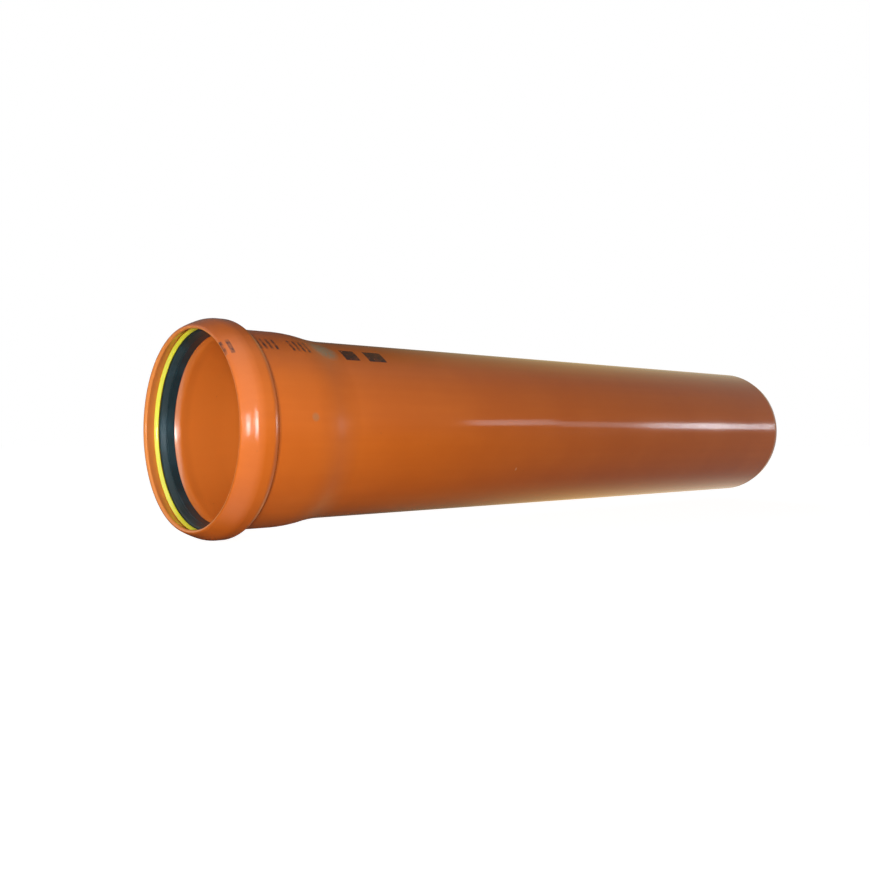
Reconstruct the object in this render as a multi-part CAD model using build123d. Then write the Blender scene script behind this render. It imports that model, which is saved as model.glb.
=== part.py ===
"""Sewer pipe with a formed socket, its rubber lip seal and the ring that holds the seal in."""
import os
from math import cos, radians, sin, sqrt, tan

from build123d import *

# Plain pipe, in millimetres and degrees
pipe_diameter = 110.0
pipe_wall = 3.3
laying_length = 500.0
insertion_depth = 66.0
spigot_chamfer_length = 6.0
spigot_chamfer_angle = 15.0

# Socket: the same wall, widened to take a spigot of the same pipe
spigot_clearance = 0.4
taper_angle = 12.5
taper_straight = 0.7

# Ring bead at the mouth, with the groove inside it
groove_depth = 5.9
bead_wall = 2.5
mouth_clearance = 1.1
mouth_angle = 27.5
lip_flat = 0.6
lip_chamfer = 0.8
front_crest_round = 14.0
crest_flat = 4.5
rear_crest_round = 5.5
crease_angle = 54.0
groove_flat = 5.0
flank_angle = 70.0
throat_length = 4.9
throat_angle = 25.0
throat_straight = 1.0

# Retaining ring, a wedge at the front of the groove
seat_clearance = 0.3
retainer_setback = 7.3
retainer_depth = 3.6
retainer_nose = 0.4
retainer_funnel_length = 2.0
retainer_funnel_angle = 25.0
retainer_edge = 0.3

# Lip seal, behind the wedge
lip_clearance = 0.2
lip_tip = 0.65
lip_thickness = 2.7
lip_length = 4.3
lead_in_length = 4.0
lead_in_rise = 1.35
fold_width = 0.6
fold_depth = 0.45
fold_to_notch = 1.0
notch_rise = 1.0

# Radii
pipe_radius = pipe_diameter / 2
bore_radius = pipe_radius - pipe_wall
spigot_end_radius = pipe_radius - spigot_chamfer_length * tan(radians(spigot_chamfer_angle))
socket_bore_radius = pipe_radius + spigot_clearance
socket_radius = socket_bore_radius + pipe_wall
groove_radius = socket_bore_radius + groove_depth
bead_radius = groove_radius + bead_wall


def half_turn(angle):
    """Length that a corner of this angle takes up for each millimetre of round or wall."""
    return tan(radians(angle) / 2)


def closed_section(corners):
    """Section from (along, radius, corner round) rows, with along measured from the mouth."""
    points = [(along, radius) for along, radius, _ in corners]
    section = make_face(Polyline(*points, close=True))
    for along, radius, corner_round in corners:
        if corner_round:
            corner = section.vertices().sort_by_distance((along, radius))[0]
            section = fillet(corner, corner_round)
    return section


def turned(section):
    """Solid of revolution about the pipe's axis, with the origin at the pipe's middle."""
    return Pos(-total_length / 2, 0, 0) * revolve(section, Axis.X, 360)


# Lip of the mouth: the bead's wall cut square across, rounded outside and chamfered inside
mouth_sine = sin(radians(mouth_angle))
mouth_cosine = cos(radians(mouth_angle))
mouth_slope = tan(radians(mouth_angle))
lip_round = bead_wall - lip_flat - lip_chamfer
lip_outer = lip_round * (1 - mouth_cosine - mouth_sine)
lip_inner = lip_outer + bead_wall * mouth_sine
lip_inner_radius = socket_bore_radius + mouth_clearance
lip_outer_radius = lip_inner_radius + bead_wall * mouth_cosine

# Bead from the lip over the crest to the crease
crease_slope = tan(radians(crease_angle))
front_crest = lip_outer + (bead_radius - lip_outer_radius) / mouth_slope
front_crest_end = front_crest + front_crest_round * half_turn(mouth_angle)
rear_crest_start = front_crest_end + crest_flat
rear_crest = rear_crest_start + rear_crest_round * half_turn(crease_angle)
crease = rear_crest + (bead_radius - socket_radius) / crease_slope

# Groove inside the bead: a wall below its crest, with a steep flank and a rounded throat behind
groove_front = front_crest + bead_wall * half_turn(mouth_angle)
groove_front_round = front_crest_round - bead_wall
groove_rear = front_crest_end + groove_flat
bore_edge = groove_rear + throat_length
flank_slope = tan(radians(flank_angle))
throat_slope = tan(radians(throat_angle))
flank_foot = (groove_depth - throat_length * throat_slope) / (flank_slope - throat_slope)
flank_foot_radius = groove_radius - flank_foot * flank_slope
throat_cone = (throat_length - flank_foot) / cos(radians(throat_angle))
throat_round = (throat_cone - throat_straight) / half_turn(throat_angle)

# Taper from the socket to the plain pipe: two rounds with a short straight between them
taper_rise = socket_radius - pipe_radius
taper_length = taper_rise / tan(radians(taper_angle))
taper_start = insertion_depth - taper_length / 2
taper_end = taper_start + taper_length
taper_slant = taper_rise / sin(radians(taper_angle))
taper_round = (taper_slant - taper_straight) / 2 / half_turn(taper_angle)
taper_shift = pipe_wall * half_turn(taper_angle)

# Pipe: outside from the mouth to the spigot, then the inside back to the mouth
total_length = laying_length + insertion_depth
pipe_section = closed_section(
    [
        (lip_outer, lip_outer_radius, lip_round),
        (front_crest, bead_radius, front_crest_round),
        (rear_crest, bead_radius, rear_crest_round),
        (crease, socket_radius, 0),
        (taper_start, socket_radius, taper_round),
        (taper_end, pipe_radius, taper_round),
        (total_length - spigot_chamfer_length, pipe_radius, 0),
        (total_length, spigot_end_radius, 0),
        (total_length, bore_radius, 0),
        (taper_end - taper_shift, bore_radius, taper_round + pipe_wall),
        (taper_start - taper_shift, socket_bore_radius, taper_round - pipe_wall),
        (bore_edge, socket_bore_radius, throat_round),
        (groove_rear + flank_foot, flank_foot_radius, 0),
        (groove_rear, groove_radius, 0),
        (groove_front, groove_radius, groove_front_round),
        (lip_inner + lip_chamfer * mouth_cosine, lip_inner_radius + lip_chamfer * mouth_sine, 0),
        (lip_inner - lip_chamfer * mouth_sine, lip_inner_radius + lip_chamfer * mouth_cosine, 0),
    ]
)
pipe = turned(pipe_section)


def groove_front_radius(along):
    """Radius of the front of the groove: the mouth's cone, then the round up to the full depth."""
    cone_end = front_crest_end - groove_front_round * mouth_sine
    if along < cone_end:
        return lip_inner_radius + (along - lip_inner) * mouth_slope
    reach = min(along - front_crest_end, 0)
    return groove_radius - groove_front_round + sqrt(groove_front_round**2 - reach**2)


# Retaining ring: its outside follows the front of the groove, its inside is a short funnel
retainer_back = retainer_setback + retainer_depth
retainer_throat = retainer_setback + retainer_funnel_length
retainer_rear = retainer_throat + retainer_edge
retainer_front_radius = groove_front_radius(retainer_setback) - seat_clearance
retainer_back_radius = groove_front_radius(retainer_back) - seat_clearance
retainer_nose_radius = retainer_front_radius - retainer_nose
retainer_funnel_drop = retainer_funnel_length * tan(radians(retainer_funnel_angle))
retainer_inner_radius = retainer_nose_radius - retainer_funnel_drop
retainer_section = closed_section(
    [
        (retainer_setback, retainer_nose_radius, 0),
        (retainer_setback, retainer_front_radius, 0),
        (retainer_back, retainer_back_radius, 0),
        (retainer_rear, retainer_inner_radius, 0),
        (retainer_throat, retainer_inner_radius, 0),
    ]
)
retaining_ring = turned(retainer_section)

# Seal: its front lies on the ring's back, its rear lobe on the groove's flank, and a notch frees the lip
wedge_slope = (retainer_back - retainer_rear) / (retainer_back_radius - retainer_inner_radius)
wedge_gap = seat_clearance * sqrt(1 + wedge_slope**2)
flank_gap = seat_clearance / sin(radians(flank_angle))
lip_radius = pipe_radius + lip_clearance
fold_radius = lip_radius + fold_depth
lead_in_radius = fold_radius + lead_in_rise
notch_radius = fold_radius + lip_thickness
lobe_radius = notch_radius + notch_rise
seal_outer_radius = groove_radius - seat_clearance


def flank_rear(radius):
    """Distance from the mouth to the seal's rear face, a clearance before the flank."""
    return groove_rear + (groove_radius - radius) / flank_slope - flank_gap


nose = retainer_rear + seat_clearance
nose_radius = retainer_inner_radius + (nose - retainer_rear - wedge_gap) / wedge_slope
wedge_end = retainer_back + wedge_gap
fold = nose + lead_in_length
lip_end = fold + lip_length
seal_section = closed_section(
    [
        (nose, lead_in_radius, 0),
        (fold - fold_width / 2, fold_radius, 0),
        (fold, fold_radius + fold_depth, 0),
        (fold + fold_width / 2, fold_radius, 0),
        (lip_end, lip_radius, 0),
        (lip_end, lip_radius + lip_tip, 0),
        (fold + fold_to_notch, notch_radius, 0),
        (flank_rear(lobe_radius), lobe_radius, 0),
        (flank_rear(seal_outer_radius), seal_outer_radius, 0),
        (front_crest_end, seal_outer_radius, 0),
        (wedge_end, retainer_back_radius, 0),
        (nose, nose_radius, 0),
    ]
)
sealing_ring = turned(seal_section)

os.makedirs("parts", exist_ok=True)
export_step(pipe, "parts/pipe.step")
export_step(retaining_ring, "parts/retaining_ring.step")
export_step(sealing_ring, "parts/sealing_ring.step")
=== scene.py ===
# %% [markdown]
# A sewer pipe with a push-fit socket.
# The object is one length of orange-brown PVC drain pipe. One end is a plain spigot, the other is
# widened into a socket with a round bead at its mouth. A black lip seal sits in the groove inside
# the bead, and a thin yellow ring holds it in. The imported model is loaded first: it fixes the size
# and the place of everything, and its box is kept for the floor.

# %% Load the imported model
from math import ceil, cos, degrees, pi, radians, sin, tan

import bmesh
import bpy
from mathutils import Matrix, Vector


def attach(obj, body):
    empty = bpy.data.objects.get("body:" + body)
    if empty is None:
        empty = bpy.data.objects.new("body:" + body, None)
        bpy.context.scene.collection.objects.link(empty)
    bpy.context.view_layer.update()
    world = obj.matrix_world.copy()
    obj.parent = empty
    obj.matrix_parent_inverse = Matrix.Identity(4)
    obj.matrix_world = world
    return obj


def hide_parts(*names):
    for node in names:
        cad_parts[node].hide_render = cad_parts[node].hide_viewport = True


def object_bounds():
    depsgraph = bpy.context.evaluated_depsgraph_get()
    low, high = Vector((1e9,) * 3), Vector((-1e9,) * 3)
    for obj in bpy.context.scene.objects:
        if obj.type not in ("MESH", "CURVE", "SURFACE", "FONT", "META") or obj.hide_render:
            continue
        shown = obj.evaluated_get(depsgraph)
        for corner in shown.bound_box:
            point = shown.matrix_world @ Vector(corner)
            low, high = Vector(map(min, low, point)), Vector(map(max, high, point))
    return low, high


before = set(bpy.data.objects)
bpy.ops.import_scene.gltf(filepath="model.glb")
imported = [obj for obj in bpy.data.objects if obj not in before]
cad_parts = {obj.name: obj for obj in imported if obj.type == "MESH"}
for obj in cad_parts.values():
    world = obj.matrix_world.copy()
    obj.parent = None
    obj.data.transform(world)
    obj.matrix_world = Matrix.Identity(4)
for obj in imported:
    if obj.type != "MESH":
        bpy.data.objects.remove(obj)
cad_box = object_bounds()
print("CAD nodes:", ", ".join(sorted(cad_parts)))

# %% [markdown]
# The photograph is taken from in front of the socket, level with the pipe's axis, so the mouth is
# large and the far end small. A camera could be moved by hand until the picture looks right. Here
# its place, heading and focal length come from fitting the pipe's outline to the picture, whose
# frame is square, because the eye can hardly tell a nearer camera from a longer pipe.

# %% Camera
image_width = 870
focal_length_in_pixels = 918.9
sensor_width = 36.0
camera_place = (-0.5241, -0.4811, -0.0032)
camera_heading = radians(-41.68)

bpy.ops.object.select_all(action="DESELECT")
bpy.ops.object.camera_add(location=camera_place, rotation=(pi / 2, 0, camera_heading))
camera = bpy.context.object
camera.data.sensor_width = sensor_width
camera.data.lens = focal_length_in_pixels / image_width * sensor_width
camera.data.clip_start = 0.01
bpy.context.scene.camera = camera
print(f"Camera lens {camera.data.lens:.2f} mm")

# %% [markdown]
# Pipe, seal and ring are all bodies of revolution about the X axis. They could be put together
# from cylinders, but each is easier as one closed section that is spun. The section starts as a
# tiny plane merged to one point, which is extruded from corner to corner. A vertex bevel then
# rounds the corners: its offset is the length that the round takes up along each edge. Rounding
# the drawn line is simpler than beveling the edges of the finished ring, and the number of steps
# in each round stays in hand.

# %% Helpers that draw, round and spin a section
MM = 0.001
pipe_length = 566.0
same_place = 1e-6
fewest_round_steps = 4


def section_point(along, radius):
    """Place in the frame of a section corner, along measured from the mouth, both in millimetres."""
    return Vector(((along - pipe_length / 2) * MM, 0, radius * MM))


def pick_vertices(piece, places):
    """Selects the vertices of the piece in edit mode that lie at one of the places."""
    bpy.ops.mesh.select_all(action="DESELECT")
    mesh = bmesh.from_edit_mesh(piece.data)
    for vertex in mesh.verts:
        vertex.select = any((vertex.co - place).length < same_place for place in places)
    mesh.select_flush_mode()
    bmesh.update_edit_mesh(piece.data)


def draw_section(name, corners, round_step):
    """Draws a closed section from (along, radius, round) rows, rounded in steps of some degrees."""
    points = [section_point(along, radius) for along, radius, _ in corners]
    bpy.ops.object.select_all(action="DESELECT")
    bpy.ops.mesh.primitive_plane_add(size=MM, location=points[0])
    piece = bpy.context.object
    piece.name = piece.data.name = name
    bpy.ops.object.transform_apply(location=True, rotation=False, scale=False)
    bpy.ops.object.mode_set(mode="EDIT")
    bpy.ops.mesh.merge(type="CENTER")
    for here, there in zip(points, points[1:]):
        bpy.ops.mesh.extrude_region_move(TRANSFORM_OT_translate={"value": there - here})
    pick_vertices(piece, [points[0], points[-1]])
    bpy.ops.mesh.edge_face_add()
    for i, (_, _, corner_round) in enumerate(corners):
        if corner_round:
            before, point, after = points[i - 1], points[i], points[(i + 1) % len(points)]
            turn = (point - before).angle(after - point)
            pick_vertices(piece, [point])
            bpy.ops.mesh.bevel(
                affect="VERTICES",
                offset=corner_round * MM * tan(turn / 2),
                segments=max(fewest_round_steps, ceil(degrees(turn) / round_step)),
            )
    return piece


def spin_section(piece, steps, smooth_angle):
    """Spins the drawn section about the pipe's axis into a closed body with even shading."""
    bpy.ops.mesh.select_all(action="SELECT")
    bpy.ops.mesh.spin(steps=steps, angle=2 * pi, center=(0, 0, 0), axis=(1, 0, 0))
    bpy.ops.mesh.select_all(action="SELECT")
    bpy.ops.mesh.remove_doubles(threshold=same_place)
    bpy.ops.mesh.normals_make_consistent(inside=False)
    bpy.ops.object.mode_set(mode="OBJECT")
    bpy.ops.object.shade_smooth_by_angle(angle=radians(smooth_angle))
    piece.modifiers.new("even_shading", "WEIGHTED_NORMAL").keep_sharp = True
    bpy.ops.object.modifier_apply(modifier="even_shading")
    print(f"{piece.name}: {len(piece.data.polygons)} faces")


def fit_piece(piece, node):
    """Puts the piece in the place of its CAD node."""
    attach(piece, "root")
    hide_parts(node)


print(f"Sections are drawn from the mouth, at x = {section_point(0, 0).x:.3f} m")

# %% [markdown]
# The real pipe is extruded, and its socket is pressed out over a mandrel while the end is hot, so
# the wall follows the bead, the crease behind it and the long soft taper down to the plain length.
# A single surface with a Solidify modifier would do for most of it, but the groove inside the bead
# has its own steep flank and throat. So the section goes along the outside from the mouth to the
# spigot and back along the inside. Its corners are worked out from a few sizes.

# %% Driving sizes of the pipe, lengths in millimetres
pipe_radius = 55.0
pipe_wall = 3.3
insertion_depth = 66.0
chamfer_length = 6.0
chamfer_angle = radians(15.0)
spigot_clearance = 0.4
taper_angle = radians(12.5)
taper_straight = 0.7
groove_depth = 5.9
groove_flat = 5.0
bead_wall = 2.5
mouth_clearance = 1.1
mouth_angle = radians(27.5)
lip_round = 1.1
lip_chamfer = 0.8
crest_round = 14.0
crest_flat = 4.5
rear_crest_round = 5.5
crease_angle = radians(54.0)
print(f"Pipe {2 * pipe_radius} mm across with a wall of {pipe_wall} mm")

# %% Radii, taper and lip
pipe_bore = pipe_radius - pipe_wall
socket_bore = pipe_radius + spigot_clearance
socket_radius = socket_bore + pipe_wall
groove_radius = socket_bore + groove_depth
bead_radius = groove_radius + bead_wall
chamfer_drop = chamfer_length * tan(chamfer_angle)

taper_rise = socket_radius - pipe_radius
taper_length = taper_rise / tan(taper_angle)
taper_start = insertion_depth - taper_length / 2
taper_end = insertion_depth + taper_length / 2
taper_round = (taper_rise / sin(taper_angle) - taper_straight) / 2 / tan(taper_angle / 2)
taper_shift = pipe_wall * tan(taper_angle / 2)

mouth_radius = socket_bore + mouth_clearance
lip_along = lip_round * (1 - cos(mouth_angle) - sin(mouth_angle))
lip_radius = mouth_radius + bead_wall * cos(mouth_angle)
mouth_along = lip_along + bead_wall * sin(mouth_angle)
chamfer_long = lip_chamfer * cos(mouth_angle)
chamfer_short = lip_chamfer * sin(mouth_angle)
mouth_edge_in = (mouth_along + chamfer_long, mouth_radius + chamfer_short)
mouth_edge_out = (mouth_along - chamfer_short, mouth_radius + chamfer_long)
print(f"Bead {2 * bead_radius:.1f} mm across, socket bore {2 * socket_bore:.1f} mm")

# %% Bead, groove and throat
crown_along = 4.16
crown_front_angle = radians(31.0)
crown_rear_angle = radians(19.0)
crown_radius = lip_radius + (crown_along - lip_along) * tan(crown_front_angle)
crest_along = crown_along + (bead_radius - crown_radius) / tan(crown_rear_angle)

cone_end = lip_along + (bead_radius - lip_radius) / tan(mouth_angle)
crest_start = cone_end + crest_round * tan(mouth_angle / 2)
rear_crest = crest_start + crest_flat + rear_crest_round * tan(crease_angle / 2)
crease = rear_crest + (bead_radius - socket_radius) / tan(crease_angle)

groove_front = cone_end + bead_wall * tan(mouth_angle / 2)
groove_rear = crest_start + groove_flat
flank_foot = (19.39, 56.95)
throat_bend = (21.4, 56.12)
bore_edge = 23.6
print(f"From the mouth: groove {groove_front:.2f} to {groove_rear:.2f} mm, crease {crease:.2f} mm")

# %% Draw and spin the pipe
crown_round = 40.0
mouth_edge_round = 0.8
spigot_edge_round = 0.3
end_edge_round = 0.2
bore_edge_round = 6.0
throat_round = 25.0
flank_foot_round = 0.5
groove_rear_round = 0.6

pipe = draw_section(
    "pipe_with_socket",
    [
        (lip_along, lip_radius, lip_round),
        (crown_along, crown_radius, crown_round),
        (crest_along, bead_radius, crest_round),
        (rear_crest, bead_radius, rear_crest_round),
        (crease, socket_radius, 0),
        (taper_start, socket_radius, taper_round),
        (taper_end, pipe_radius, taper_round),
        (pipe_length - chamfer_length, pipe_radius, spigot_edge_round),
        (pipe_length, pipe_radius - chamfer_drop, end_edge_round),
        (pipe_length, pipe_bore, end_edge_round),
        (taper_end - taper_shift, pipe_bore, taper_round + pipe_wall),
        (taper_start - taper_shift, socket_bore, taper_round - pipe_wall),
        (bore_edge, socket_bore, bore_edge_round),
        (*throat_bend, throat_round),
        (*flank_foot, flank_foot_round),
        (groove_rear, groove_radius, groove_rear_round),
        (groove_front, groove_radius, crest_round - bead_wall),
        (*mouth_edge_in, mouth_edge_round),
        (*mouth_edge_out, mouth_edge_round),
    ],
    round_step=3.0,
)
spin_section(pipe, steps=288, smooth_angle=12.0)
fit_piece(pipe, "pipe")

# %% [markdown]
# The seal is moulded rubber: a thick body that fills the groove and a lip that leans inwards, with
# a fine fold groove where the lip bends. The yellow ring in front of it is a small wedge of stiff
# plastic with a funnel inside. A plain torus could pass for either from far off, but the mouth is
# the part that is seen from close by. So both are spun from their own sections like the pipe, a
# small clearance from the groove and from each other, with rounded edges.

# %% Sizes of the ring and the seal
ring_front = 7.3
ring_front_radius = 59.6
ring_nose = 0.4
ring_back = 10.9
ring_back_radius = 60.84
ring_inner_start = 9.3
ring_inner_end = 9.6
ring_inner_radius = 58.27
funnel_bend = (8.3, 58.64)

seat_clearance = 0.3
seal_front = ring_inner_end + seat_clearance
seal_front_radius = 58.2
seal_outer_radius = groove_radius - seat_clearance
seal_rear = 17.6
wedge_end = 11.23
seal_lip_end = 18.6
seal_lip_radius = 55.2
seal_lip_tip = 0.65
fold = 13.9
fold_half_width = 0.3
fold_depth = 0.45
fold_radius = seal_lip_radius + fold_depth
lead_in_rise = 1.35
notch = (14.9, 58.35)
lobe = (18.2, 59.35)
print(f"Ring {ring_front} to {ring_back} mm, seal {seal_front:.1f} to {seal_lip_end} mm from the mouth")

# %% Draw and spin the seal
fine_round = 0.15
tip_round = 0.2
lead_in_round = 1.0
notch_round = 0.6
seal_edge_round = 0.3
seal_rear_round = 0.4
seal_crest_round = 0.5

seal = draw_section(
    "lip_seal",
    [
        (seal_front, fold_radius + lead_in_rise, lead_in_round),
        (fold - fold_half_width, fold_radius, fine_round),
        (fold, fold_radius + fold_depth, fine_round),
        (fold + fold_half_width, fold_radius, fine_round),
        (seal_lip_end, seal_lip_radius, fine_round),
        (seal_lip_end, seal_lip_radius + seal_lip_tip, tip_round),
        (*notch, notch_round),
        (*lobe, seal_edge_round),
        (seal_rear, seal_outer_radius, seal_rear_round),
        (crest_start, seal_outer_radius, seal_crest_round),
        (wedge_end, ring_back_radius, seal_edge_round),
        (seal_front, seal_front_radius, seal_edge_round),
    ],
    round_step=12.0,
)
spin_section(seal, steps=224, smooth_angle=16.0)
fit_piece(seal, "sealing_ring")

# %% Draw and spin the ring
thin_edge_round = 0.1
funnel_round = 6.0

ring = draw_section(
    "yellow_ring",
    [
        (ring_front, ring_front_radius - ring_nose, fine_round),
        (ring_front, ring_front_radius, fine_round),
        (ring_back, ring_back_radius, thin_edge_round),
        (ring_inner_end, ring_inner_radius, thin_edge_round),
        (ring_inner_start, ring_inner_radius, thin_edge_round),
        (*funnel_bend, funnel_round),
    ],
    round_step=4.0,
)
spin_section(ring, steps=224, smooth_angle=16.0)
fit_piece(ring, "retaining_ring")

# %% [markdown]
# Each finish is a tree of nodes. Made by hand, they are dragged from one socket to the next. In a
# script a few helpers keep the trees short: one adds a node and fills its sockets, with a plain
# value or a link, and the others stand for the nodes that come up most.

# %% Helpers that wire nodes
def fill(tree, socket, value):
    """Links an output to the socket, or sets the socket to a plain value."""
    if isinstance(value, bpy.types.NodeSocket):
        tree.links.new(value, socket)
    else:
        socket.default_value = value


def add_node(tree, kind, inputs=(), **settings):
    """Adds a shader node, makes its settings and fills the inputs that are given."""
    node = tree.nodes.new("ShaderNode" + kind)
    for setting, value in settings.items():
        setattr(node, setting, value)
    for socket, value in dict(inputs).items():
        fill(tree, node.inputs[socket], value)
    return node


def calculate(tree, operation, *values):
    """Output of a Math node."""
    return add_node(tree, "Math", enumerate(values), operation=operation).outputs[0]


def combine(tree, operation, values):
    """Output of a row of Math nodes that takes in the values one after the other."""
    result, *others = values
    for value in others:
        result = calculate(tree, operation, result, value)
    return result


def overlap(tree, *masks):
    """Product of masks and shares: strong only where all of them are."""
    return combine(tree, "MULTIPLY", masks)


def either(tree, *masks):
    """Largest of the masks: strong where any of them is."""
    return combine(tree, "MAXIMUM", masks)


node_helpers = (fill, add_node, calculate, combine, overlap, either)
print("Node helpers:", ", ".join(helper.__name__ for helper in node_helpers))

# %% Helpers for masks and colours
def fade(tree, value, start, end):
    """Soft step from 0 where the value is at its start to 1 at its end."""
    inputs = {"Value": value, "From Min": start, "From Max": end}
    return add_node(tree, "MapRange", inputs, interpolation_type="SMOOTHSTEP").outputs[0]


def spread(tree, value, low, high):
    """Turns a mask from 0 to 1 into values from low to high."""
    return add_node(tree, "MapRange", {"Value": value, "To Min": low, "To Max": high}).outputs[0]


def paint(tree, share, under, over):
    """Colour over another colour, by its share."""
    blend = add_node(tree, "Mix", {0: share}, data_type="RGBA")
    for socket, colour in ((blend.inputs[6], under), (blend.inputs[7], over)):
        fill(tree, socket, colour if isinstance(colour, bpy.types.NodeSocket) else (*colour, 1))
    return blend.outputs[2]


def stretch(tree, place, scale):
    """Coordinates made longer or shorter along X, Y and Z."""
    return add_node(tree, "Mapping", {"Vector": place, "Scale": scale}).outputs[0]


mask_helpers = (fade, spread, paint, stretch)
print("Mask and colour helpers:", ", ".join(helper.__name__ for helper in mask_helpers))

# %% [markdown]
# Nothing that was moulded and then handled is one even colour. Three effects show that: clouds of
# a slightly other shade, small specks of dust or dirt, and hairline scratches. Clouds are in every
# finish, specks on the PVC and the rubber, hairlines on the ring. They could be wired again in each
# material, but as a node group each is made once, and every finish sets its own scale.

# %% Helpers that make and place a group
def new_group(name, numbers, output):
    """Group that takes a place and some numbers and gives one mask; returns it, its ins and its out."""
    group = bpy.data.node_groups.new(name, "ShaderNodeTree")
    group.interface.new_socket("Place", in_out="INPUT", socket_type="NodeSocketVector")
    for socket, usual in numbers.items():
        made = group.interface.new_socket(socket, in_out="INPUT", socket_type="NodeSocketFloat")
        made.default_value = usual
    group.interface.new_socket(output, in_out="OUTPUT", socket_type="NodeSocketFloat")
    ins = group.nodes.new("NodeGroupInput").outputs
    out = group.nodes.new("NodeGroupOutput").inputs[output]
    return group, ins, out


def use_group(tree, group, inputs):
    """Mask that the group gives in this tree."""
    node = add_node(tree, "Group", node_tree=group)
    for socket, value in inputs.items():
        fill(tree, node.inputs[socket], value)
    return node.outputs[0]


def noise_in(group, place, scale, detail):
    """Noise from 0 to 1 in a group."""
    inputs = {"Vector": place, "Scale": scale, "Detail": detail}
    return add_node(group, "TexNoise", inputs).outputs[0]


group_helpers = (new_group, use_group, noise_in)
print("Group helpers:", ", ".join(helper.__name__ for helper in group_helpers))

# %% Groups for clouds, specks and hairlines
clouds, ins, out = new_group("clouds", {"Scale": 20.0, "Detail": 3.0}, "Cloud")
noise = noise_in(clouds, ins["Place"], ins["Scale"], ins["Detail"])
clouds.links.new(fade(clouds, noise, 0.3, 0.7), out)

specks, ins, out = new_group("specks", {"Scale": 200.0, "Size": 0.2, "Share": 0.2}, "Speck")
cells = add_node(specks, "TexVoronoi", {"Vector": ins["Place"], "Scale": ins["Scale"]})
chance = add_node(specks, "SeparateXYZ", {0: cells.outputs["Color"]}).outputs[0]
chosen = calculate(specks, "LESS_THAN", chance, ins["Share"])
dot = fade(specks, cells.outputs["Distance"], ins["Size"], 0.0)
specks.links.new(overlap(specks, dot, chosen), out)

hairlines, ins, out = new_group("hairlines", {"Scale": 30.0, "Width": 0.006}, "Line")
waves = noise_in(hairlines, ins["Place"], ins["Scale"], 2.0)
off_line = calculate(hairlines, "ABSOLUTE", calculate(hairlines, "SUBTRACT", waves, 0.5))
line = fade(hairlines, off_line, ins["Width"], 0.0)
patches = noise_in(hairlines, ins["Place"], 90.0, 1.0)
hairlines.links.new(overlap(hairlines, line, fade(hairlines, patches, 0.52, 0.66)), out)
print("Groups:", ", ".join(group.name for group in bpy.data.node_groups))

# %% [markdown]
# The marks on the pipe lie at a distance from its mouth and at an angle above its front. They could
# be painted on an unwrapped picture. Here distance and angle are worked out from the Object
# coordinates, so nothing has to be unwrapped and a mark is set in millimetres and degrees. The
# direction that the surface faces, away from the axis or towards it, tells outside from inside.

# %% Where a point lies on the pipe
def vector_math(tree, operation, *values):
    """Vector Math node."""
    return add_node(tree, "VectorMath", enumerate(values), operation=operation)


def pipe_place(tree):
    """Coordinates of a point, its distance from the mouth in mm, angle in degrees and inside mask."""
    coordinates = add_node(tree, "TexCoord")
    place = coordinates.outputs["Object"]
    x, y, z = add_node(tree, "SeparateXYZ", {0: place}).outputs
    along = calculate(tree, "MULTIPLY_ADD", x, 1 / MM, pipe_length / 2)
    to_front = calculate(tree, "MULTIPLY", y, -1.0)
    angle = calculate(tree, "DEGREES", calculate(tree, "ARCTAN2", z, to_front))
    from_axis = vector_math(tree, "MULTIPLY", place, (0, 1, 1)).outputs[0]
    outward = vector_math(tree, "NORMALIZE", from_axis).outputs[0]
    facing = vector_math(tree, "DOT_PRODUCT", outward, coordinates.outputs["Normal"])
    return place, along, angle, fade(tree, facing.outputs["Value"], 0.1, -0.4)


def within(tree, value, centre, half, edge):
    """Mask that is 1 near the centre and fades over the edge past half the width."""
    distance = calculate(tree, "ABSOLUTE", calculate(tree, "SUBTRACT", value, centre))
    return fade(tree, distance, half + edge, half)


def block_mask(tree, along, angle, middle, half, edge):
    """Mask of a block on the pipe: middle, half size and edge each as (mm along, degrees)."""
    masks = [within(tree, value, *sizes) for value, *sizes in zip((along, angle), middle, half, edge)]
    return overlap(tree, *masks)


def spot_mask(tree, along, angle, middle, half):
    """Mask of a soft oval spot on the pipe, with its middle and half size given in the same way."""
    steps = [
        calculate(tree, "DIVIDE", calculate(tree, "SUBTRACT", value, centre), size)
        for value, centre, size in zip((along, angle), middle, half)
    ]
    squares = [calculate(tree, "MULTIPLY", step, step) for step in steps]
    return fade(tree, calculate(tree, "ADD", *squares), 1.0, 0.0)


print(f"Marks are placed from 0 mm at the mouth to {pipe_length:.0f} mm at the spigot")

# %% [markdown]
# Dark ink is rolled on along the upper front of the pipe: two plain blocks behind the taper and
# rows of short bars on the socket and the bead, half worn off. Thin pieces of geometry would stand
# proud of the wall, so the ink is a mask in the finish, and clouds eat into it.

# %% Ink on the pipe
ink_angle = 55.0
ink_blocks = [(89.9, 4.9), (109.0, 6.4)]
block_half_angle = 5.2
block_edge = (0.7, 1.0)
bar_rows = [(30.6, 6.6, ink_angle), (52.2, 6.6, ink_angle), (1.8, 3.0, 47.0)]
bar_half_angle = 4.6
bar_edge = (0.5, 1.2)
bar_pitch = 3.6
bar_half = 0.7
bar_fade = 0.5


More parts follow.
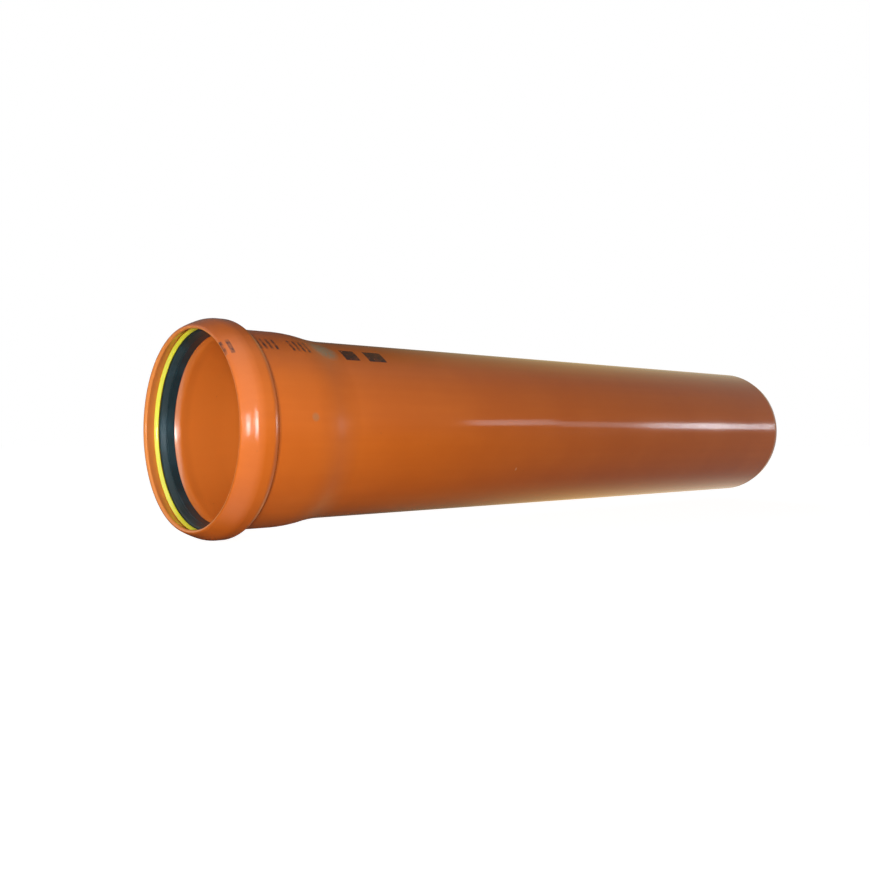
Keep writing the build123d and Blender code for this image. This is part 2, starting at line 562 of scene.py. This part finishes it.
def ink_mask(tree, place, along, angle):
    """Mask of the two printed blocks and the worn bars on the socket and the bead."""
    worn = use_group(tree, clouds, {"Place": place, "Scale": 330.0, "Detail": 2.0})
    blocks = [
        block_mask(tree, along, angle, (middle, ink_angle), (half, block_half_angle), block_edge)
        for middle, half in ink_blocks
    ]
    rows = [
        block_mask(tree, along, angle, (middle, row_angle), (half, bar_half_angle), bar_edge)
        for middle, half, row_angle in bar_rows
    ]
    off_bar = calculate(tree, "PINGPONG", along, bar_pitch / 2)
    bar = fade(tree, off_bar, bar_half + bar_fade, bar_half)
    solid = overlap(tree, either(tree, *blocks), spread(tree, worn, 0.85, 1.0))
    bars = overlap(tree, bar, either(tree, *rows), spread(tree, worn, 0.35, 0.95))
    return either(tree, solid, bars)


print(f"Ink: {len(ink_blocks)} blocks and {len(bar_rows)} rows of bars")

# %% [markdown]
# The PVC is one orange right through, but not evenly so: there are soft clouds in it and very fine
# lines from the die run along it. The inside is painted paler, most of all at the mouth, as painted
# light on the bore and the lip. Over that come painted shade in the crease behind the bead and the
# marks of use: specks, a grey patch beside the ink, a smudge on the socket and a small pale scar.
# Each is painted over the last through its own mask.

# %% Colour of the PVC
orange_dark = (0.64, 0.132, 0.0125)
orange_light = (0.69, 0.149, 0.0155)
orange_line = (0.6, 0.118, 0.0105)
inside_painted_light = (0.79, 0.203, 0.033)
mouth_painted_light = (0.95, 0.3, 0.07)
mouth_depth = 8.0
mouth_fade = 2.0


def orange_with_inside_light(tree, along, inside, cloud, lines):
    """Orange with clouds and fine lines, painted paler inside and palest at the mouth as painted light.
    """
    colour = paint(tree, cloud, orange_dark, orange_light)
    colour = paint(tree, overlap(tree, lines, 0.25), colour, orange_line)
    # Painted light: the inside, and most of all the mouth, is painted paler to stand in for light on
    # the bore and the lip.
    colour = paint(tree, overlap(tree, inside, 0.7), colour, inside_painted_light)
    mouth = overlap(tree, fade(tree, along, mouth_depth + mouth_fade, mouth_depth), inside)
    return paint(tree, mouth, colour, mouth_painted_light)


print("Orange from", orange_dark, "to", orange_light)

# %% Painted crease shade and marks of use on the PVC
crease_shade_brown = (0.23, 0.055, 0.016)
speck_brown = (0.3, 0.08, 0.02)
patch_grey = (0.3, 0.25, 0.18)
smudge_brown = (0.4, 0.2, 0.1)
scar_pale = (0.8, 0.42, 0.2)
crease_shade_middle = crease + 0.4


def crease_shade_and_marks(tree, colour, place, along, angle, outside, grain):
    """The colour with painted shade in the crease, specks, a grey patch, a smudge and a scar."""
    # Painted shade: a dark brown band in the crease behind the bead stands in for the shade there.
    painted_crease_shade = within(tree, along, crease_shade_middle, half=0.3, edge=1.1)
    colour = paint(tree, overlap(tree, painted_crease_shade, outside, 0.25), colour, crease_shade_brown)
    dirt = use_group(tree, specks, {"Place": place, "Scale": 160.0, "Size": 0.14, "Share": 0.06})
    colour = paint(tree, overlap(tree, dirt, 0.25), colour, speck_brown)
    # A grey patch beside the ink on the taper, broken up by fine clouds.
    grey_patch = spot_mask(tree, along, angle, middle=(71.5, 57.0), half=(11.0, 11.5))
    grey_patch = overlap(tree, grey_patch, outside, spread(tree, grain, 0.45, 0.95))
    colour = paint(tree, grey_patch, colour, patch_grey)
    smudge = spot_mask(tree, along, angle, middle=(47.3, 6.6), half=(3.0, 3.0))
    colour = paint(tree, overlap(tree, smudge, 0.55), colour, smudge_brown)
    scar = spot_mask(tree, along, angle, middle=(218.5, -28.8), half=(1.1, 1.6))
    return paint(tree, overlap(tree, scar, 0.5), colour, scar_pale)


print(f"Painted crease shade at {crease_shade_middle:.1f} mm from the mouth")

# %% [markdown]
# The plain pipe leaves the die glossy. The end that was heated and pressed into a socket has lost
# some of that gloss, except on the bead, and so have the bore and the cut lip. Ink is duller than
# the wall under it, and a film on the throat behind the seal shines. Gloss could be one number for
# the whole pipe, but then the socket would mirror as sharply as the rest.

# %% Gloss of the PVC
least_rough = 0.1
most_rough = 0.25
bead_dullness = 0.2
ink_roughness = 0.1


def pvc_roughness(tree, along, inside, outside, cloud, ink):
    """Low on the plain pipe, higher on the formed socket, in the bore, on the lip and on the ink."""
    formed = overlap(tree, fade(tree, along, 12.0, 20.0), fade(tree, along, 90.0, 62.0), outside)
    bore = overlap(tree, fade(tree, along, 24.0, 32.0), inside)
    lip = fade(tree, along, 3.0, 1.2)
    bead = overlap(tree, fade(tree, along, 20.0, 12.0), bead_dullness)
    dull = either(tree, formed, bore, lip, bead)
    roughness = spread(tree, dull, least_rough, most_rough)
    roughness = calculate(tree, "ADD", roughness, spread(tree, cloud, -0.01, 0.02))
    return calculate(tree, "ADD", roughness, spread(tree, ink, 0.0, ink_roughness))


print(f"Roughness from {least_rough} to {most_rough}")

# %% Orange PVC
ink_black = (0.022, 0.009, 0.011)
relief_depth = 0.5e-5


def new_material(name):
    """Material with its tree and its shader."""
    material = bpy.data.materials.new(name)
    material.use_nodes = True
    return material, material.node_tree, material.node_tree.nodes["Principled BSDF"]


def raise_surface(tree, shader, height, depth):
    """Bumps the shader by the height mask, depth in metres."""
    bump = add_node(tree, "Bump", {"Height": height, "Strength": 1.0, "Distance": depth})
    tree.links.new(bump.outputs["Normal"], shader.inputs["Normal"])


def orange_pvc():
    """Extruded pipe with a duller formed socket, ink, smudges, a painted lighter inside and painted
    shade in the crease.
    """
    material, tree, shader = new_material("orange_pvc")
    place, along, angle, inside = pipe_place(tree)
    outside = calculate(tree, "SUBTRACT", 1.0, inside)
    cloud = use_group(tree, clouds, {"Place": place, "Scale": 16.0})
    along_pipe = stretch(tree, place, (0.03, 1, 1))
    lines = use_group(tree, clouds, {"Place": along_pipe, "Scale": 190.0})
    grain = use_group(tree, clouds, {"Place": place, "Scale": 650.0})
    ink = overlap(tree, ink_mask(tree, place, along, angle), outside)

    colour = orange_with_inside_light(tree, along, inside, cloud, lines)
    colour = crease_shade_and_marks(tree, colour, place, along, angle, outside, grain)
    colour = paint(tree, overlap(tree, ink, 0.97), colour, ink_black)
    tree.links.new(colour, shader.inputs["Base Color"])
    roughness = pvc_roughness(tree, along, inside, outside, cloud, ink)
    tree.links.new(roughness, shader.inputs["Roughness"])

    film = overlap(tree, within(tree, along, centre=22.0, half=4.0, edge=5.0), inside)
    tree.links.new(film, shader.inputs["Coat Weight"])
    shader.inputs["Coat Roughness"].default_value = 0.26
    shader.inputs["Coat IOR"].default_value = 1.9
    relief = calculate(tree, "MULTIPLY_ADD", grain, 0.2, lines)
    raise_surface(tree, shader, relief, relief_depth)
    return material


pipe.data.materials.append(orange_pvc())
print("Finish:", pipe.data.materials[0].name)

# %% [markdown]
# The seal is black rubber with a cold sheen: faint rings from the mould run round it and dust lies
# on it. The ring is a bright moulded plastic with a few fine scratches. A flat colour would make
# both look drawn on, so shade and gloss vary as on anything moulded. The mould rings are clouds
# that are stretched across the axis, which is simpler than modelling such fine relief.

# %% Rubber
rubber_dark = (0.007, 0.025, 0.033)
rubber_light = (0.014, 0.045, 0.062)
dust_grey = (0.2, 0.19, 0.17)


def seal_rubber():
    """Blue-black rubber with mould rings, grain and a little dust."""
    material, tree, shader = new_material("seal_rubber")
    place = add_node(tree, "TexCoord").outputs["Object"]
    around = stretch(tree, place, (1, 0.04, 0.04))
    cloud = use_group(tree, clouds, {"Place": place, "Scale": 60.0})
    rings = use_group(tree, clouds, {"Place": around, "Scale": 1500.0})
    grain = use_group(tree, clouds, {"Place": place, "Scale": 1800.0})
    dust = use_group(tree, specks, {"Place": place, "Scale": 500.0, "Size": 0.25, "Share": 0.12})
    colour = paint(tree, cloud, rubber_dark, rubber_light)
    colour = paint(tree, overlap(tree, dust, 0.2), colour, dust_grey)
    tree.links.new(colour, shader.inputs["Base Color"])
    tree.links.new(spread(tree, cloud, 0.36, 0.46), shader.inputs["Roughness"])
    raise_surface(tree, shader, calculate(tree, "MULTIPLY_ADD", grain, 0.4, rings), 1.5e-5)
    return material


seal.data.materials.append(seal_rubber())
print("Finish:", seal.data.materials[0].name)

# %% Yellow plastic
yellow_dark = (0.86, 0.85, 0.035)
yellow_light = (0.93, 0.93, 0.06)
scratch_olive = (0.6, 0.58, 0.12)


def yellow_plastic():
    """Bright yellow-green moulded plastic with faint flow marks."""
    material, tree, shader = new_material("yellow_plastic")
    place = add_node(tree, "TexCoord").outputs["Object"]
    around = stretch(tree, place, (1, 0.08, 0.08))
    cloud = use_group(tree, clouds, {"Place": place, "Scale": 45.0})
    flow = use_group(tree, clouds, {"Place": around, "Scale": 1100.0})
    scratch = use_group(tree, hairlines, {"Place": place, "Scale": 80.0, "Width": 0.01})
    colour = paint(tree, cloud, yellow_dark, yellow_light)
    colour = paint(tree, overlap(tree, scratch, 0.25), colour, scratch_olive)
    tree.links.new(colour, shader.inputs["Base Color"])
    tree.links.new(spread(tree, cloud, 0.14, 0.22), shader.inputs["Roughness"])
    shader.inputs["Coat Weight"].default_value = 1.0
    shader.inputs["Coat Roughness"].default_value = 0.12
    raise_surface(tree, shader, flow, 1e-5)
    return material


ring.data.materials.append(yellow_plastic())
print("Finish:", ring.data.materials[0].name)

# %% [markdown]
# The backdrop is white to the camera, but a glossy pipe shows the room round it as well: in the
# photograph its near end reflects a dim room, its far end a brighter, warmer one. One even sky
# would leave the pipe flat. The world therefore has three parts, chosen by the kind of ray: for
# reflections a glow that changes along the pipe, with other stops in front and behind, above and
# below; for the colours a soft light from the camera's side and from behind; and plain white for
# the camera.

# %% World and its helpers
scene = bpy.context.scene
scene.view_settings.view_transform = "Standard"
world = bpy.data.worlds.new("room")
scene.world = world
world.use_nodes = True
room = world.node_tree
room.nodes.clear()
heading = add_node(room, "TexCoord").outputs["Generated"]
heading_x, heading_y, heading_z = add_node(room, "SeparateXYZ", {0: heading}).outputs


def glow(value, stops):
    """Colours along a value from -1 to 1, given as (value, colour) stops."""
    ramp = add_node(room, "ValToRGB", {"Fac": calculate(room, "MULTIPLY_ADD", value, 0.5, 0.5)})
    elements = ramp.color_ramp.elements
    while len(elements) < len(stops):
        elements.new(0.5)
    for element, (at, colour) in zip(elements, stops):
        element.position = (at + 1) / 2
        element.color = (*colour, 1)
    return ramp.outputs["Color"]


def grey(level):
    """Colour with no tint."""
    return (level, level, level)


print("World:", world.name)

# %% Room in the reflections
front_up = glow(
    heading_x,
    [
        (-0.75, grey(0.3)),
        (-0.55, grey(1.5)),
        (-0.2, grey(1.5)),
        (0.1, grey(1.0)),
        (0.42, grey(0.48)),
        (0.64, grey(0.29)),
        (0.78, grey(0.27)),
        (0.88, (0.39, 0.38, 0.35)),
    ],
)
front_low = glow(
    heading_x,
    [
        (-0.75, grey(0.2)),
        (-0.5, grey(0.85)),
        (-0.2, grey(0.85)),
        (0.1, grey(0.6)),
        (0.42, grey(0.12)),
        (0.66, grey(0.07)),
        (0.78, grey(0.22)),
        (0.87, grey(0.32)),
    ],
)
behind_up = glow(
    heading_x,
    [
        (-0.6, grey(0.8)),
        (0.1, grey(0.18)),
        (0.46, grey(0.16)),
        (0.54, grey(0.06)),
        (0.62, (0.18, 0.14, 0.08)),
        (0.68, (0.42, 0.34, 0.2)),
        (0.77, (0.67, 0.53, 0.28)),
        (0.86, (0.62, 0.54, 0.38)),
    ],
)
behind_low = glow(
    heading_x,
    [
        (0.45, (0.05, 0.04, 0.03)),
        (0.6, (0.15, 0.11, 0.07)),
        (0.68, (0.36, 0.26, 0.15)),
        (0.77, (1.0, 0.65, 0.3)),
        (0.86, (1.0, 0.8, 0.6)),
    ],
)
upper = fade(room, heading_z, -0.3, 0.3)
front = paint(room, upper, front_low, front_up)
behind = paint(room, upper, behind_low, behind_up)
all_round = paint(room, fade(room, heading_y, -0.15, 0.45), front, behind)
print("Reflections:", len(room.nodes), "nodes so far")

# %% Soft light and the choice by ray
camera_side = (-0.66, -0.75, 0)
to_camera = vector_math(room, "DOT_PRODUCT", heading, camera_side).outputs["Value"]
soft_front = glow(
    to_camera,
    [
        (0.0, grey(0.015)),
        (0.5, (0.1, 0.097, 0.094)),
        (0.8, (0.42, 0.405, 0.39)),
        (1.0, (1.08, 1.04, 1.0)),
    ],
)
soft_back = glow(
    heading_y,
    [
        (0.2, grey(0.0)),
        (0.5, grey(0.12)),
        (0.8, grey(0.85)),
        (1.0, grey(2.4)),
    ],
)
soft = vector_math(room, "ADD", soft_front, soft_back).outputs[0]


def light_of(colour):
    """Background shader of this colour."""
    return add_node(room, "Background", {"Color": colour}).outputs[0]


def choose(tree, share, shader, other):
    """The other shader where the share is 1, else the first."""
    return add_node(tree, "MixShader", {0: share, 1: shader, 2: other}).outputs[0]


ray = add_node(room, "LightPath").outputs
by_gloss = choose(room, ray["Is Glossy Ray"], light_of(soft), light_of(all_round))
by_camera = choose(room, ray["Is Camera Ray"], by_gloss, light_of((1, 1, 1, 1)))
add_node(room, "OutputWorld", {"Surface": by_camera})
print("World:", len(room.nodes), "nodes")

# %% [markdown]
# A key lamp beside the camera gives the colour: it is close, so the near end is bright and the far
# end dim, and a weak fill lamp lifts the far end. The other lamps are seen only as reflections: two
# tall ones on the bead, the ring and the throat, and a strip in parts along the front, which draws
# the pale line on the plain pipe and grows brighter towards the spigot. One large lamp could do
# both jobs, but then no highlight could be set without changing the colours. A narrow beam keeps
# a lamp from showing on other parts of the pipe, or at its edge when it is seen from behind.

# %% Lamps for the colour
def area_lamp(
    name, place, aim, size, radiance, colour=(1, 1, 1), diffuse=False, shape="RECTANGLE", beam=None
):
    """Area lamp facing the aim that only colours or only reflects, with a beam of some half angle."""
    width, height = size
    bpy.ops.object.select_all(action="DESELECT")
    bpy.ops.object.light_add(type="AREA", location=place)
    lamp = bpy.context.object
    lamp.name = name
    lamp.rotation_euler = (Vector(aim) - Vector(place)).to_track_quat("-Z", "Y").to_euler()
    lamp.data.shape = shape
    lamp.data.size = width
    lamp.data.size_y = height
    lamp.data.energy = radiance * 4 * width * height
    lamp.data.color = colour
    lamp.visible_camera = False
    lamp.visible_diffuse = diffuse
    lamp.visible_glossy = not diffuse
    if beam:
        lamp.data.spread = 2 * beam
        lamp.data.energy *= 1 - beam / tan(beam)
    print(f"{name}: {lamp.data.energy:.3g} W")


area_lamp(
    "key_lamp",
    place=(-0.545, -0.435, 0.01),
    aim=(-0.2, 0, 0),
    size=(0.1, 0.1),
    radiance=56.5,
    colour=(0.926, 1.0, 0.93),
    diffuse=True,
)
area_lamp(
    "fill_lamp",
    place=(0.5, -0.45, -0.02),
    aim=(0.24, 0, 0),
    size=(0.2, 0.08),
    radiance=3.9,
    diffuse=True,
)

# %% Lamps for the highlights of the mouth
cold = (0.86, 0.94, 1.0)
bead_front = (-0.278, -0.061, 0)
tall_beam = radians(18.0)
area_lamp(
    "tall_lamp_left",
    place=(-0.5, -0.618, 0.04),
    aim=bead_front,
    size=(0.024, 0.26),
    radiance=29,
    colour=cold,
    shape="ELLIPSE",
    beam=tall_beam,
)
area_lamp(
    "tall_lamp_right",
    place=(-0.388, -0.651, 0.05),
    aim=bead_front,
    size=(0.02, 0.38),
    radiance=40,
    colour=cold,
    shape="ELLIPSE",
    beam=tall_beam,
)

# %% Strip for the line on the plain pipe
strip_front = -0.34
strip_end = 0.9
strip_level = 0.0745
strip_slope = -0.028
strip_parts = [(0.31, 0.045, 0.9), (0.47, 0.03, 5), (0.505, 0.014, 45), (0.54, 0.014, 125)]
for i, (strip_start, height, radiance) in enumerate(strip_parts):
    middle = (strip_start + strip_end) / 2
    level = strip_level + strip_slope * middle
    area_lamp(
        f"strip_{i}",
        place=(middle, strip_front, level),
        aim=(middle, 0, level),
        size=(strip_end - strip_start, height),
        radiance=radiance,
        colour=cold,
    )
area_lamp(
    "streak_start",
    place=(0.233, strip_front, 0.066),
    aim=(-0.07, -0.053, 0.015),
    size=(0.1, 0.045),
    radiance=2.2,
    colour=cold,
    beam=radians(10.0),
)

# %% [markdown]
# The pipe lies on a pale floor. Under lamps as close as these, plain white paint would be bright at
# one end and grey at the other. So the camera sees a floor that mostly glows, just short of white,
# with a little paint that takes the pipe's shadow. All other light meets pale paint, which throws
# some of it back on the underside of the pipe. In reflections the floor is left out, because the
# world's lower glow stands for it.

# %% Floor
floor_size = 8
floor_level = cad_box[0].z
bpy.ops.object.select_all(action="DESELECT")
bpy.ops.mesh.primitive_plane_add(size=floor_size, location=(0, 0, floor_level))
floor = bpy.context.object
floor.name = "floor"
floor.visible_glossy = False

floor_paint = bpy.data.materials.new("floor_paint")
floor_paint.use_nodes = True
tree = floor_paint.node_tree
tree.nodes.clear()
pale = add_node(tree, "BsdfDiffuse", {"Color": (*grey(0.58), 1)})
shaded = add_node(tree, "BsdfDiffuse", {"Color": (*grey(0.4), 1)})
white = add_node(tree, "Emission", {"Strength": 0.93})
seen = add_node(tree, "AddShader", {0: white.outputs[0], 1: shaded.outputs[0]})
is_camera = add_node(tree, "LightPath").outputs["Is Camera Ray"]
floor_look = choose(tree, is_camera, pale.outputs[0], seen.outputs[0])
add_node(tree, "OutputMaterial", {"Surface": floor_look})
floor.data.materials.append(floor_paint)
print(f"Floor at {floor_level / MM:.2f} mm")
